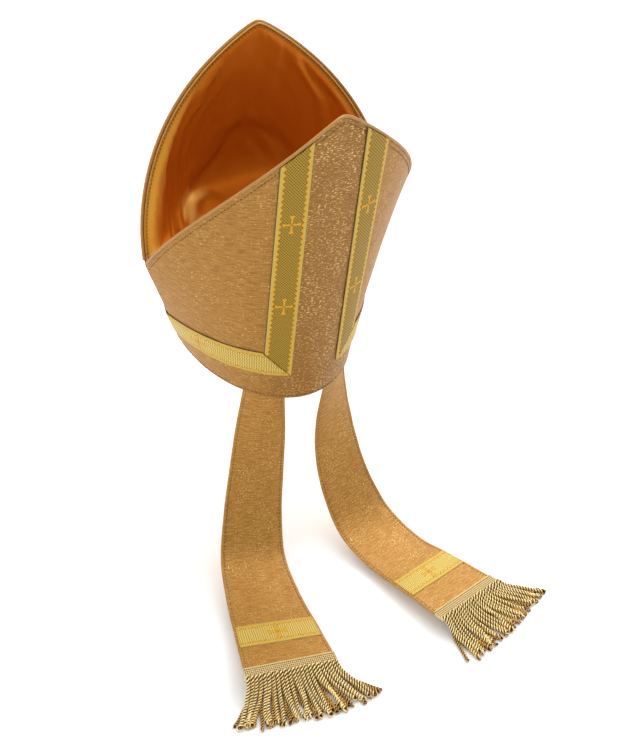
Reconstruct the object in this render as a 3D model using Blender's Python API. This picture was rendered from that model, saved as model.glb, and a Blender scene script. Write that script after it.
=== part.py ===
"""Bishop mitre with two fringed lappets, worn open and leaning back a little.

Two stiff pointed panels meet in upright side seams. Soft lining hangs between their top
edges and lies over the crown of the wearer's head, leaving the hollow below it open. The
crown is drawn upright on its rim and then leaned back about the middle of the rim, which
is the origin. +Z is up, +Y is the wearer's back and +X is the wearer's left.
"""
import math

import bmesh
import bpy
import numpy as np
from mathutils import Matrix, Vector

# Rim and panels
RIM_HALF_WIDTH = 0.0830      # oval that sits round the head
RIM_HALF_DEPTH = 0.1043
BENT_HEIGHT = 0.1400         # height above the rim where the bent section below is stated
BENT_HALF_ARC = 0.1657       # half the width of one panel there, measured round it
BENT_TURN = math.radians(47.5)   # how far each half panel turns from its middle to the seam
BENT_EVENNESS = 1.675        # share of that turn which grows evenly along the panel
FRONT_EXTRA = 0.0028         # the front panel stands this much further out at BENT_HEIGHT
SIDE_HEIGHT = 0.1108         # side points, where the seams end
PEAK_HEIGHT = 0.2788
EDGE_RUN = 0.1740            # flat width of half a panel's pointed edge
EDGE_BOW = 0.0116            # how far that edge swells from its straight chord
PEAK_ROUND = 0.0040
LEAN_BACK = math.radians(17.0)
WALL = 0.0020                # face cloth, stiffening and backing
GAP = 0.0003                 # left between pieces that are sewn face to face
SEAM_GAP = 0.0004
FACET_SPARE = 0.0002         # how far flat facets stray from the true curve
PANEL_COLUMNS = 32
PANEL_ROWS = 10
COLUMN_CROWDING = 1.25       # crowds the columns towards the peak

# Turned edge along the top of each panel
PIPING_RADIUS = 0.0012
PIPING_POINTS = 22           # on each side of the peak
PIPING_CROWDING = 1.8
PIPING_END = 0.974           # share of the half panel where it stops short of the side point

# Lining that hangs between the panels
LINING_THICKNESS = 0.0012
LINING_DROP = 0.0010         # its edge lies this far below the panels' edges
LINING_FLOOR = 0.1080        # height of the trough along the panels, at the middle
LINING_FLOOR_SIDE = 0.1140   # and beside the side points
LINING_LEAST_DEPTH = 0.0030  # it hangs at least this far below its edge
LINING_DOME = 0.0230         # rise over the crown of the head
LINING_DOME_WIDTH = 0.050
LINING_DOME_DEPTH = 0.045
LINING_SQUARENESS = 2.7      # 2 hangs as a half ellipse, more hugs the panels
LINING_END = 0.955
LINING_COLUMNS = 26
LINING_ROWS = 20

# Woven galloons
GALLOON_WIDTH = 0.0255
GALLOON_THICKNESS = 0.0008
GALLOON_FROM_CENTRE = 0.0236     # from the panel's centre line to the upright galloon
GALLOON_ASIDE = 0.0014           # the back pair sits this much toward the wearer's left
GALLOON_BOTTOM = 0.0290          # foot of the upright galloon, above the rim
SIDE_GALLOON_AT_SEAM = 0.0215    # lower edge of the side galloon at the side seam
SIDE_GALLOON_BOW = 0.0024        # how far it bows up between its mitre and the seam
GALLOON_TOP_GAP = 0.0006
GALLOON_COLUMNS = 3
UPRIGHT_ROWS = 9
SIDE_ROWS = 16                   # on each side of the seam

# Lappets: the stations are the middle of the ribbon every seventh of its length, its heading
# across (turned from +X) and its tilt across. The top is sewn inside the back of the rim.
LAPPET_THICKNESS = 0.0016
LAPPET_TOP_WIDTH = 0.0410
LAPPET_END_WIDTH = 0.0840
LAPPET_TUCK = 0.0100
LAPPET_CLEARANCE = 0.0007        # between the tucked top and the panel's inner face
LAPPET_BOWS = (0.0020, 0.0010, 0.0005)   # crosswise bow at the first stations below the rim
LAPPET_COLUMNS = 4
LAPPET_ROWS = 22
LAPPET_TOP_ARC = {"left": (0.0280, 0.0690), "right": (-0.0560, -0.0150)}
LAPPET_STATIONS = {
    "left": (
        (0.0452, 0.0777, -0.0687, -31, 6),
        (0.0530, 0.0813, -0.1118, -19, 9),
        (0.0640, 0.0912, -0.1530, -14, 12),
        (0.0779, 0.1140, -0.1868, -14, 13),
        (0.0896, 0.1532, -0.1990, -15, 9),
        (0.1003, 0.1950, -0.1985, -16, 6),
        (0.1115, 0.2360, -0.1935, -13, 7),
    ),
    "right": (
        (-0.0318, 0.0831, -0.0710, 16, -3),
        (-0.0346, 0.0868, -0.1143, 8, -3),
        (-0.0384, 0.1010, -0.1555, 8, -3),
        (-0.0439, 0.1283, -0.1888, 8, -1),
        (-0.0514, 0.1682, -0.2010, 10, 4),
        (-0.0602, 0.2104, -0.1990, 11, 6),
        (-0.0696, 0.2532, -0.1974, 11, 7),
    ),
}
LAPPET_GALLOON_FROM_END = {"left": 0.0277, "right": 0.0300}
LAPPET_GALLOON_INSET = 0.0020    # the galloon stops this far short of the lappet's edges

# Fringes: a woven heading along the lappet's end, then cords that fan out on the ground
HEADING_LENGTH = 0.0105
HEADING_THICKNESS = 0.0024
FRINGE_LENGTH = {"left": 0.0420, "right": 0.0450}
FRINGE_THICKNESS = (0.0060, 0.0046)
FRINGE_DROP = 0.35               # share of the length in which the cords come down
GROUND = -0.2060                 # lowest level the lappets hang to
FRINGE_FAN = {"left": (-20, 12, 46), "right": (-44, -25, -5)}    # heading of the cords, from +Y
FRINGE_COLUMNS = 8
FRINGE_ROWS = 5

# How finely curves are worked out
SAMPLES = 400
LINING_STEPS = 120
SURFACE_STEP = 0.002
EDGE_PASSES = 6
AT_SEAM = 0.999
SHARP_ANGLE = math.radians(40)


def clear_scene():
    for old in list(bpy.data.objects):
        bpy.data.objects.remove(old, do_unlink=True)


def material(name, colour, roughness, metallic=0.0):
    made = bpy.data.materials.new(name)
    made.use_nodes = True
    shader = made.node_tree.nodes["Principled BSDF"]
    shader.inputs["Base Color"].default_value = (*colour, 1.0)
    shader.inputs["Roughness"].default_value = roughness
    shader.inputs["Metallic"].default_value = metallic
    return made


# ---------------------------------------------------------------- the crown's curved walls

def rim_section():
    """A quarter of the rim oval from the centre back to the side, at even steps of length."""
    angle = np.linspace(0.0, math.pi / 2, SAMPLES)
    x = RIM_HALF_WIDTH * np.sin(angle)
    y = RIM_HALF_DEPTH * np.cos(angle)
    length = np.concatenate(([0.0], np.cumsum(np.hypot(np.diff(x), np.diff(y)))))
    even = np.linspace(0.0, length[-1], SAMPLES)
    return np.interp(even, length, x), np.interp(even, length, y), length[-1]


def bent_section():
    """Half a panel's section at BENT_HEIGHT: a sheet that bends most near its middle."""
    share = np.linspace(0.0, 1.0, SAMPLES)
    turn = BENT_TURN * (BENT_EVENNESS * share + (1.0 - BENT_EVENNESS) * share ** 3)
    step = BENT_HALF_ARC / (SAMPLES - 1)
    x = np.concatenate(([0.0], np.cumsum((np.cos(turn[1:]) + np.cos(turn[:-1])) / 2 * step)))
    y = np.concatenate(([0.0], np.cumsum((np.sin(turn[1:]) + np.sin(turn[:-1])) / 2 * step)))
    return x, y[-1] - y


SHARE = np.linspace(0.0, 1.0, SAMPLES)
RIM_X, RIM_Y, RIM_HALF_ARC = rim_section()
BENT_X, BENT_Y = bent_section()
BACK = 1
FRONT = -1


def face_point(half, u, z):
    """Point of a panel's outer face; u runs from -1 to 1, seam to seam, along the arc."""
    k = z / BENT_HEIGHT
    share = abs(u)
    x = (1 - k) * np.interp(share, SHARE, RIM_X) + k * np.interp(share, SHARE, BENT_X)
    y = (1 - k) * np.interp(share, SHARE, RIM_Y) + k * np.interp(share, SHARE, BENT_Y)
    if half == FRONT:
        y += FRONT_EXTRA * k * (1.0 - share)
    return Vector((math.copysign(x, u), half * (y + SEAM_GAP / 2), z))


def face_normal(half, u, z):
    before = max(u - SURFACE_STEP, -1.0)
    after = min(u + SURFACE_STEP, 1.0)
    along = face_point(half, after, z) - face_point(half, before, z)
    up = face_point(half, u, z + SURFACE_STEP) - face_point(half, u, z - SURFACE_STEP)
    normal = along.cross(up).normalized()
    return normal if normal.y * half > 0 else -normal


def wall_point(half, u, z, depth):
    """Point at a depth inside a panel's outer face; the offset stays in the seam's plane."""
    point = face_point(half, u, z)
    normal = face_normal(half, u, z)
    if abs(u) > AT_SEAM:
        return point - Vector((depth / normal.x, 0.0, 0.0))
    return point - normal * depth


def half_arc(z):
    return RIM_HALF_ARC + (BENT_HALF_ARC - RIM_HALF_ARC) * z / BENT_HEIGHT


def edge_height(u):
    """Height of the pointed edge: an arc from the side point to the rounded peak."""
    rise = PEAK_HEIGHT - SIDE_HEIGHT
    chord = math.hypot(EDGE_RUN, rise)
    radius = (chord ** 2 / 4 + EDGE_BOW ** 2) / (2 * EDGE_BOW)
    centre_run = EDGE_RUN / 2 + rise / chord * (radius - EDGE_BOW)
    centre_rise = rise / 2 - EDGE_RUN / chord * (radius - EDGE_BOW)
    run = EDGE_RUN - math.hypot(u * EDGE_RUN, PEAK_ROUND)
    return SIDE_HEIGHT + centre_rise + math.sqrt(radius ** 2 - (run - centre_run) ** 2)


def edge_height_at_arc(arc):
    """Height of the edge at a distance round the panel from its centre line."""
    z = SIDE_HEIGHT
    for _ in range(EDGE_PASSES):
        z = edge_height(arc / half_arc(z))
    return z


def crowded(count, power):
    """2 * count + 1 numbers from -1 to 1, crowded towards 0."""
    steps = [i / count for i in range(-count, count + 1)]
    return [math.copysign(abs(s) ** power, s) for s in steps]


# ---------------------------------------------------------------- closed sheets from grids

def grid_object(name, top, bottom, finish, smooth=True):
    """A closed sheet between two grids of points, as a named object."""
    rows = len(top)
    columns = len(top[0])
    mesh = bmesh.new()
    upper = [[mesh.verts.new(p) for p in row] for row in top]
    lower = [[mesh.verts.new(p) for p in row] for row in bottom]
    for r in range(rows - 1):
        for c in range(columns - 1):
            for grid in (upper, lower):
                mesh.faces.new((grid[r][c], grid[r][c + 1], grid[r + 1][c + 1], grid[r + 1][c]))
    for r in range(rows - 1):
        for c in (0, columns - 1):
            mesh.faces.new((upper[r][c], upper[r + 1][c], lower[r + 1][c], lower[r][c]))
    for c in range(columns - 1):
        for r in (0, rows - 1):
            mesh.faces.new((upper[r][c], upper[r][c + 1], lower[r][c + 1], lower[r][c]))
    bmesh.ops.recalc_face_normals(mesh, faces=mesh.faces)
    data = bpy.data.meshes.new(name)
    mesh.to_mesh(data)
    mesh.free()
    if smooth:
        data.shade_smooth()
        data.set_sharp_from_angle(angle=SHARP_ANGLE)
    made = bpy.data.objects.new(name, data)
    data.materials.append(finish)
    bpy.context.scene.collection.objects.link(made)
    return made


def grid_normals(grid):
    """Unit normal at each point of a grid, across the rows and columns."""
    points = np.array(grid)
    across = np.gradient(points, axis=1)
    along = np.gradient(points, axis=0)
    normal = np.cross(across, along)
    return normal / np.linalg.norm(normal, axis=2, keepdims=True)


def thickened(grid, low, high):
    """Two grids at distances low and high from one grid, along its normals."""
    points = np.array(grid)
    normal = grid_normals(grid)
    return (points + normal * high).tolist(), (points + normal * low).tolist()


# ---------------------------------------------------------------- pieces of the crown

def panel(half, name, finish):
    top = []
    bottom = []
    for r in range(PANEL_ROWS + 1):
        outer = []
        inner = []
        for u in crowded(PANEL_COLUMNS // 2, COLUMN_CROWDING):
            z = edge_height(u) * r / PANEL_ROWS
            outer.append(wall_point(half, u, z, 0.0))
            inner.append(wall_point(half, u, z, WALL))
        top.append(outer)
        bottom.append(inner)
    return grid_object(name, top, bottom, finish)


def piping(half, name, finish):
    """A slim tube on the panel's pointed edge, square to the edge and in line with the wall."""
    points = []
    for crowd in crowded(PIPING_POINTS, PIPING_CROWDING):
        u = crowd * PIPING_END
        edge = wall_point(half, u, edge_height(u), WALL / 2)
        before = u - SURFACE_STEP
        after = u + SURFACE_STEP
        along = face_point(half, after, edge_height(after))
        along -= face_point(half, before, edge_height(before))
        out = face_normal(half, u, edge_height(u)).cross(along).normalized()
        if out.z < 0:
            out = -out
        points.append(edge + out * (PIPING_RADIUS + GAP + FACET_SPARE))
    curve = bpy.data.curves.new(name, "CURVE")
    curve.dimensions = "3D"
    curve.bevel_depth = PIPING_RADIUS
    curve.bevel_resolution = 1
    curve.use_fill_caps = True
    spline = curve.splines.new("POLY")
    spline.points.add(len(points) - 1)
    for spot, point in zip(spline.points, points):
        spot.co = (*point, 1.0)
    curve.materials.append(finish)
    made = bpy.data.objects.new(name, curve)
    bpy.context.scene.collection.objects.link(made)
    return made


def lining_floor(u):
    """Height of the lining's trough in the column at u."""
    return LINING_FLOOR + (LINING_FLOOR_SIDE - LINING_FLOOR) * u * u


def lining_column(u, count):
    """Points across the hollow at u, from the back panel's edge to the front panel's."""
    top = edge_height(u) - LINING_DROP
    depth = WALL + GAP + FACET_SPARE + LINING_THICKNESS / 2
    floor = min(lining_floor(u), top - LINING_LEAST_DEPTH)
    fine = []
    for i in range(LINING_STEPS + 1):
        angle = math.pi * i / LINING_STEPS
        swing = abs(math.cos(angle)) ** (2 / LINING_SQUARENESS)
        share = (1 + math.copysign(swing, math.cos(angle))) / 2
        z = top - (top - floor) * math.sin(angle) ** (2 / LINING_SQUARENESS)
        back = wall_point(BACK, u, z, depth)
        front = wall_point(FRONT, u, z, depth)
        spot = back * share + front * (1 - share)
        spread = (spot.x / LINING_DOME_WIDTH) ** 2 + (spot.y / LINING_DOME_DEPTH) ** 2
        spot.z += LINING_DOME * math.exp(-spread / 2) * math.sin(angle) ** 2
        fine.append(spot)
    points = np.array(fine)
    length = np.concatenate(([0.0], np.cumsum(np.linalg.norm(np.diff(points, axis=0), axis=1))))
    even = np.linspace(0.0, length[-1], count)
    return np.stack([np.interp(even, length, points[:, axis]) for axis in range(3)], axis=1)


def lining(name, finish):
    us = [u * LINING_END for u in crowded(LINING_COLUMNS // 2, 1.0)]
    columns = [lining_column(u, LINING_ROWS + 1) for u in us]
    grid = np.stack(columns, axis=1)
    top, bottom = thickened(grid, -LINING_THICKNESS / 2, LINING_THICKNESS / 2)
    return grid_object(name, top, bottom, finish)


def galloon_start(half, side):
    """Arc from the panel's centre line to the near edge of an upright galloon."""
    return GALLOON_FROM_CENTRE + (side * GALLOON_ASIDE if half == BACK else 0.0)


def upright_galloon(half, side, name, finish):
    """Runs from the mitred corner at its foot up to the panel's pointed edge."""
    grids = ([], [])
    for r in range(UPRIGHT_ROWS + 1):
        rows = ([], [])
        for c in range(GALLOON_COLUMNS + 1):
            across = GALLOON_WIDTH * c / GALLOON_COLUMNS
            arc = galloon_start(half, side) + across
            foot = GALLOON_BOTTOM + across + GAP
            head = edge_height_at_arc(arc) - GALLOON_TOP_GAP
            z = foot + (head - foot) * r / UPRIGHT_ROWS
            for row, depth in zip(rows, (GAP, GAP + GALLOON_THICKNESS)):
                row.append(wall_point(half, side * arc / half_arc(z), z, -depth))
        for grid, row in zip(grids, rows):
            grid.append(row)
    return grid_object(name, grids[1], grids[0], finish)


def side_galloon_point(half, side, across, along, depth):
    """Point of a side galloon: across from its lower edge, along from its mitre to the seam."""
    near = galloon_start(half, side)
    start = near + GALLOON_WIDTH * across
    arc = start + (RIM_HALF_ARC - start) * along
    fall = (arc - near) / (RIM_HALF_ARC - near)
    z = GALLOON_BOTTOM + (SIDE_GALLOON_AT_SEAM - GALLOON_BOTTOM) * fall
    z += 4 * SIDE_GALLOON_BOW * fall * (1 - fall) + GALLOON_WIDTH * across
    point = wall_point(half, side * arc / RIM_HALF_ARC, z, -depth)
    if along > AT_SEAM:
        point.y = 0.0
    return point


def side_galloon(side, name, finish):
    """Runs from the back upright's foot round the side seam to the front upright's foot."""
    grids = ([], [])
    steps = [(BACK, i / SIDE_ROWS) for i in range(SIDE_ROWS + 1)]
    steps += [(FRONT, i / SIDE_ROWS) for i in range(SIDE_ROWS - 1, -1, -1)]
    for half, along in steps:
        for grid, depth in zip(grids, (GAP, GAP + GALLOON_THICKNESS)):
            across = [c / GALLOON_COLUMNS for c in range(GALLOON_COLUMNS + 1)]
            grid.append([side_galloon_point(half, side, a, along, depth) for a in across])
    return grid_object(name, grids[1], grids[0], finish)


# ---------------------------------------------------------------- lappets and fringes

def leaned(point):
    return Matrix.Rotation(-LEAN_BACK, 3, "X") @ Vector(point)


def lappet_rows(side):
    """Rows of points across one lappet: two inside the rim, then one for each station."""
    across = [2 * c / LAPPET_COLUMNS - 1 for c in range(LAPPET_COLUMNS + 1)]
    low, high = LAPPET_TOP_ARC[side]
    depth = WALL + LAPPET_CLEARANCE + LAPPET_THICKNESS / 2
    rows = []
    for z in (LAPPET_TUCK, 0.0):
        arcs = [low + (high - low) * (a + 1) / 2 for a in across]
        rows.append([leaned(wall_point(BACK, arc / half_arc(z), z, depth)) for arc in arcs])
    for number, (x, y, z, turn, tilt) in enumerate(LAPPET_STATIONS[side], start=1):
        turn = math.radians(turn)
        tilt = math.radians(tilt)
        sideways = Vector((math.cos(turn) * math.cos(tilt), math.sin(turn) * math.cos(tilt),
                           math.sin(tilt)))
        outward = Vector((-sideways.y, sideways.x, 0.0)).normalized()
        width = LAPPET_TOP_WIDTH + (LAPPET_END_WIDTH - LAPPET_TOP_WIDTH) * number / 7
        bow = LAPPET_BOWS[number - 1] if number <= len(LAPPET_BOWS) else 0.0
        middle = Vector((x, y, z))
        rows.append([middle + sideways * a * width / 2 + outward * bow * (1 - a * a)
                     for a in across])
    return np.array(rows)


def smoothed(rows, distances):
    """Rows at the given distances along a smooth curve through rows."""
    middle = rows.mean(axis=1)
    knots = np.concatenate(([0.0], np.cumsum(np.linalg.norm(np.diff(middle, axis=0), axis=1))))
    slopes = np.empty_like(rows)
    slopes[1:-1] = (rows[2:] - rows[:-2]) / (knots[2:] - knots[:-2])[:, None, None]
    slopes[0] = (rows[1] - rows[0]) / (knots[1] - knots[0])
    slopes[-1] = (rows[-1] - rows[-2]) / (knots[-1] - knots[-2])
    out = []
    for distance in distances:
        i = min(max(np.searchsorted(knots, distance) - 1, 0), len(knots) - 2)
        span = knots[i + 1] - knots[i]
        t = (distance - knots[i]) / span
        out.append((2 * t ** 3 - 3 * t ** 2 + 1) * rows[i] + (t ** 3 - 2 * t ** 2 + t) * span * slopes[i]
                   + (3 * t ** 2 - 2 * t ** 3) * rows[i + 1] + (t ** 3 - t ** 2) * span * slopes[i + 1])
    return np.array(out)


def lappet_length(side):
    middle = lappet_rows(side).mean(axis=1)
    return float(np.linalg.norm(np.diff(middle, axis=0), axis=1).sum())


def lappet(side, name, finish):
    hanging = np.linspace(LAPPET_TUCK, lappet_length(side), LAPPET_ROWS)
    grid = smoothed(lappet_rows(side), np.concatenate(([0.0, LAPPET_TUCK / 2], hanging)))
    top, bottom = thickened(grid, -LAPPET_THICKNESS / 2, LAPPET_THICKNESS / 2)
    return grid_object(name, top, bottom, finish)


def lappet_galloon(side, name, finish):
    end = lappet_length(side) - LAPPET_GALLOON_FROM_END[side]
    grid = smoothed(lappet_rows(side), np.linspace(end - GALLOON_WIDTH, end, 4))
    middle = grid.mean(axis=1, keepdims=True)
    width = np.linalg.norm(grid[0][-1] - grid[0][0])
    grid = middle + (grid - middle) * (1 - 2 * LAPPET_GALLOON_INSET / width)
    low = LAPPET_THICKNESS / 2 + GAP
    top, bottom = thickened(grid, low, low + GALLOON_THICKNESS)
    return grid_object(name, top, bottom, finish)


def lappet_end(side):
    """The lappet's end line of points, and the level direction in which it leaves."""
    rows = lappet_rows(side)
    line = rows[-1]
    forward = rows[-1].mean(axis=0) - rows[-2].mean(axis=0)
    forward[2] = 0.0
    return line, forward / np.linalg.norm(forward)


def heading(side, name, finish):
    line, forward = lappet_end(side)
    reach = (GAP, HEADING_LENGTH / 2, HEADING_LENGTH)
    grid = np.array([line + forward * distance for distance in reach])
    top, bottom = thickened(grid, -HEADING_THICKNESS / 2, HEADING_THICKNESS / 2)
    return grid_object(name, top, bottom, finish)


def fringe(side, name, finish):
    """The outer form of the cords: a fan that comes down from the heading and lies flat."""
    line, forward = lappet_end(side)
    low, middle, high = FRINGE_FAN[side]
    across = np.linspace(-1.0, 1.0, FRINGE_COLUMNS + 1)
    upper = []
    lower = []
    for r in range(FRINGE_ROWS + 1):
        share = r / FRINGE_ROWS
        thick = FRINGE_THICKNESS[0] + (FRINGE_THICKNESS[1] - FRINGE_THICKNESS[0]) * share
        rest = GROUND + thick / 2 + GAP
        down = min(share / FRINGE_DROP, 1.0)
        down = down * down * (3 - 2 * down)
        top_row = []
        low_row = []
        for a in across:
            start = line[0] + (line[-1] - line[0]) * (a + 1) / 2
            start = start + forward * (HEADING_LENGTH + GAP)
            bend = middle + (high - middle) * a if a > 0 else middle + (middle - low) * a
            turn = math.radians(bend)
            run = FRINGE_LENGTH[side] * share
            level = max(start[2] + (rest - start[2]) * down, rest)
            point = Vector((start[0] + math.sin(turn) * run, start[1] + math.cos(turn) * run, level))
            top_row.append(point + Vector((0.0, 0.0, thick / 2)))
            low_row.append(point - Vector((0.0, 0.0, thick / 2)))
        upper.append(top_row)
        lower.append(low_row)
    return grid_object(name, upper, lower, finish)


# ---------------------------------------------------------------- the mitre

def build():
    clear_scene()
    gold_cloth = (0.60, 0.38, 0.15)
    crown = bpy.data.objects.new("crown_lean", None)
    crown.rotation_euler = (-LEAN_BACK, 0.0, 0.0)
    bpy.context.scene.collection.objects.link(crown)
    pieces = []
    for half, place in ((BACK, "back"), (FRONT, "front")):
        pieces.append(panel(half, f"{place}_panel",
                            material(f"{place}_panel_cloth", gold_cloth, 0.45, 0.3)))
        pieces.append(piping(half, f"{place}_edge_piping",
                             material(f"{place}_piping_cloth", (0.55, 0.31, 0.14), 0.5, 0.2)))
        for side, word in ((1, "left"), (-1, "right")):
            pieces.append(upright_galloon(half, side, f"{place}_galloon_{word}",
                                          material(f"{place}_galloon_{word}_weave",
                                                   (0.55, 0.46, 0.12), 0.5, 0.2)))
    for side, word in ((1, "left"), (-1, "right")):
        pieces.append(side_galloon(side, f"side_galloon_{word}",
                                   material(f"side_galloon_{word}_weave", (0.60, 0.50, 0.14), 0.5, 0.2)))
    pieces.append(lining("crown_lining", material("lining_satin", (0.65, 0.24, 0.03), 0.35)))
    for piece in pieces:
        piece.parent = crown
    for word in ("left", "right"):
        lappet(word, f"lappet_{word}", material(f"lappet_{word}_cloth", gold_cloth, 0.45, 0.3))
        lappet_galloon(word, f"lappet_galloon_{word}",
                       material(f"lappet_galloon_{word}_weave", (0.58, 0.46, 0.12), 0.5, 0.2))
        heading(word, f"fringe_heading_{word}",
                material(f"fringe_heading_{word}_braid", (0.66, 0.55, 0.30), 0.5, 0.1))
        fringe(word, f"fringe_{word}",
               material(f"fringe_{word}_cord", (0.60, 0.46, 0.22), 0.5, 0.1))


build()
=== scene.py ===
import math

import bpy
import numpy as np
from mathutils import Matrix, Vector


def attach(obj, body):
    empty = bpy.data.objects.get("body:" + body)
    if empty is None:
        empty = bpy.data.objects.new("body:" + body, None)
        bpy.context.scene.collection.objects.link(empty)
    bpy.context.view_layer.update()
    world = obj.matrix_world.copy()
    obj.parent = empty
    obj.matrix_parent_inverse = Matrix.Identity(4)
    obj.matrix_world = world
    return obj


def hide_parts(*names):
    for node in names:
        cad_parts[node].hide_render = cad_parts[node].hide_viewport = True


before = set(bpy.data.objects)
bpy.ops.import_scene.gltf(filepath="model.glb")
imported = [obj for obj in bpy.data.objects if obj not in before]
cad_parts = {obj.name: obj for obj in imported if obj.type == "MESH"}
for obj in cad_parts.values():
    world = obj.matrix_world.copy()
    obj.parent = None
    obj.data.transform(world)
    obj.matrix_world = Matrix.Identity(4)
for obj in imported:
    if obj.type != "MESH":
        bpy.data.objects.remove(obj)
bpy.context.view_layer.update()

# ---- dimensions, as in the part
RIM_HALF_WIDTH = 0.0830      # oval that sits round the head
RIM_HALF_DEPTH = 0.1043
BENT_HEIGHT = 0.1400         # height above the rim where the bent section below is stated
BENT_HALF_ARC = 0.1657       # half the width of one panel there, measured round it
BENT_TURN = math.radians(47.5)
BENT_EVENNESS = 1.675
FRONT_EXTRA = 0.0028         # the front panel stands this much further out at BENT_HEIGHT
SIDE_HEIGHT = 0.1108         # side points, where the seams end
PEAK_HEIGHT = 0.2788
EDGE_RUN = 0.1740            # flat width of half a panel's pointed edge
EDGE_BOW = 0.0116            # how far that edge swells from its straight chord
PEAK_ROUND = 0.0040
LEAN_BACK = math.radians(17.0)
WALL = 0.0020
PIPING_LIFT = 0.0017
GALLOON_WIDTH = 0.0255
GALLOON_FROM_CENTRE = 0.0236
GALLOON_ASIDE = 0.0014       # the back pair sits this much toward the wearer's left
GALLOON_BOTTOM = 0.0290
SIDE_GALLOON_AT_SEAM = 0.0215
SIDE_GALLOON_BOW = 0.0024
LINING_DROP = 0.0010
LINING_DEPTH = 0.0031
LINING_FLOOR = 0.1080
LINING_FLOOR_SIDE = 0.1140
LINING_LEAST_DEPTH = 0.0030
LINING_DOME = 0.0230         # rise over the crown of the head
LINING_DOME_WIDTH = 0.050
LINING_DOME_DEPTH = 0.045
LINING_SQUARENESS = 2.7      # 2 hangs as a half ellipse, more hugs the panels
LAPPET_THICKNESS = 0.0016
LAPPET_TOP_WIDTH = 0.0410
LAPPET_END_WIDTH = 0.0840
LAPPET_TUCK = 0.0100
LAPPET_CLEARANCE = 0.0007
LAPPET_BOWS = (0.0020, 0.0010, 0.0005)
LAPPET_TOP_ARC = {"left": (0.0280, 0.0690), "right": (-0.0560, -0.0150)}
# The middle of each ribbon at even steps: place, heading across and tilt across in degrees.
LAPPET_STATIONS = {
    "left": (
        (0.0452, 0.0777, -0.0687, -31, 6),
        (0.0530, 0.0813, -0.1118, -19, 9),
        (0.0640, 0.0912, -0.1530, -14, 12),
        (0.0779, 0.1140, -0.1868, -14, 13),
        (0.0896, 0.1532, -0.1990, -15, 9),
        (0.1003, 0.1950, -0.1985, -16, 6),
        (0.1115, 0.2360, -0.1935, -13, 7),
    ),
    "right": (
        (-0.0318, 0.0831, -0.0710, 16, -3),
        (-0.0346, 0.0868, -0.1143, 8, -3),
        (-0.0384, 0.1010, -0.1555, 8, -3),
        (-0.0439, 0.1283, -0.1888, 8, -1),
        (-0.0514, 0.1682, -0.2010, 10, 4),
        (-0.0602, 0.2104, -0.1990, 11, 6),
        (-0.0696, 0.2532, -0.1974, 11, 7),
    ),
}
LAPPET_GALLOON_FROM_END = {"left": 0.0277, "right": 0.0300}
LAPPET_GALLOON_INSET = 0.0024
HEADING_LENGTH = 0.0105
GROUND = -0.2060             # what the fringes lie on
BACK = 1
FRONT = -1
SIDES = ((1, "left"), (-1, "right"))
HALVES = ((BACK, "back"), (FRONT, "front"))

# ---- dimensions of the looks
MM = 0.001
SAMPLES = 400
LINING_END = 0.985           # share of the half panel where the satin stops
LINING_CROWDING = 0.75       # crowds the lining's rows towards its sewn edges
LINING_CREASE = 0.100        # from the sewn edge to the crease where the bag begins
LINING_BLEND = 0.06          # over which the back half's folds give way to the front half's
LINING_BUMP = (0.052, -0.031)    # where the satin lies over the crown of the head
LINING_HALF_CLOTH = 0.4 * MM
VALLEY_MIDDLE = np.array([0.0, 0.03, 0.19])
# Where the folds run down from the edge: heights, and the distance from the middle at each.
VALLEY_PLACE = ((0.107, 0.135, 0.176, 0.197, 0.215, 0.237), (0.107, 0.101, 0.092, 0.084, 0.068, 0.051))
LEFT_AND_UP = (0.77, -0.30, 0.56)
STITCH_BELOW_EDGE = 0.0036
STITCH_ABOVE_RIM = 0.0026
STITCH_IN_LAPPET = 0.0031
STITCH_IN_LINING = 0.0014
STITCH_DEPTH = 0.32 * MM
CROSS_SPACING = 0.0825
CROSS_FROM_RIM = 0.0263
CROSS_ON_SIDE = 0.1110
ONE_CROSS = 0.200            # so far apart that a lappet's galloon shows one cross
LAPPET_WAVE = 0.35 * MM
LAPPET_WAVE_SEED = {"left": 35, "right": 36}
LAPPET_HALF_CLOTH = 0.8 * MM
PICOT_SPACING = 2.0 * MM
FRINGE_SEED = {"left": 44, "right": 45}
CORDS = 67                   # in each fringe; every third lies on top
# Lengths of the cords at the right, middle and left of a fringe, and their headings from +Y.
FRINGE_LENGTH = {"left": (0.0480, 0.0440, 0.0400), "right": (0.0450, 0.0450, 0.0450)}
FRINGE_FAN = {"left": (-27, 12, 48), "right": (-46, -25, -4)}
CORD_RADIUS = 0.0018
TWIST_PITCH = 0.0054
CORD_SIDES = 6
OUTERMOST_CORD = 0.97        # share of the heading's half width
CAMERA_LENS = 48.64          # on a sensor 36 mm wide
CAMERA_PLACE = (0.4098, 0.7381, 0.5129)
CAMERA_AZIMUTH = math.radians(147.56)    # from -Y toward +X
CAMERA_ELEVATION = math.radians(34.56)
FLOOR_REACH = 12.0
SURROUND = 0.38
# Each light's name, azimuth and elevation in degrees, strength and spread in degrees.
LIGHTS = (
    ("key_light", -85.0, 68.0, 2.0, 75.0),
    ("left_light", 85.0, 34.0, 1.35, 70.0),
    ("right_light", -100.0, 35.0, 1.0, 50.0),
    ("far_light", -151.0, 40.0, 1.0, 40.0),
)


# ---- paths and fields

def unit(vectors):
    return vectors / np.linalg.norm(vectors, axis=-1, keepdims=True)


def lengths_along(path):
    """The distance travelled from a path's first point to each of its points."""
    return np.concatenate(([0.0], np.cumsum(np.linalg.norm(np.diff(path, axis=0), axis=1))))


def points_at(distances, lengths, path):
    """A path's points, or directions kept with them, at distances along it."""
    return np.stack([np.interp(distances, lengths, path[:, axis]) for axis in range(3)], axis=1)


def resampled(path, spacing):
    path = np.asarray(path, float)
    length = lengths_along(path)
    even = np.linspace(0.0, length[-1], max(int(length[-1] / spacing), 2) + 1)
    return points_at(even, length, path)


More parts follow.
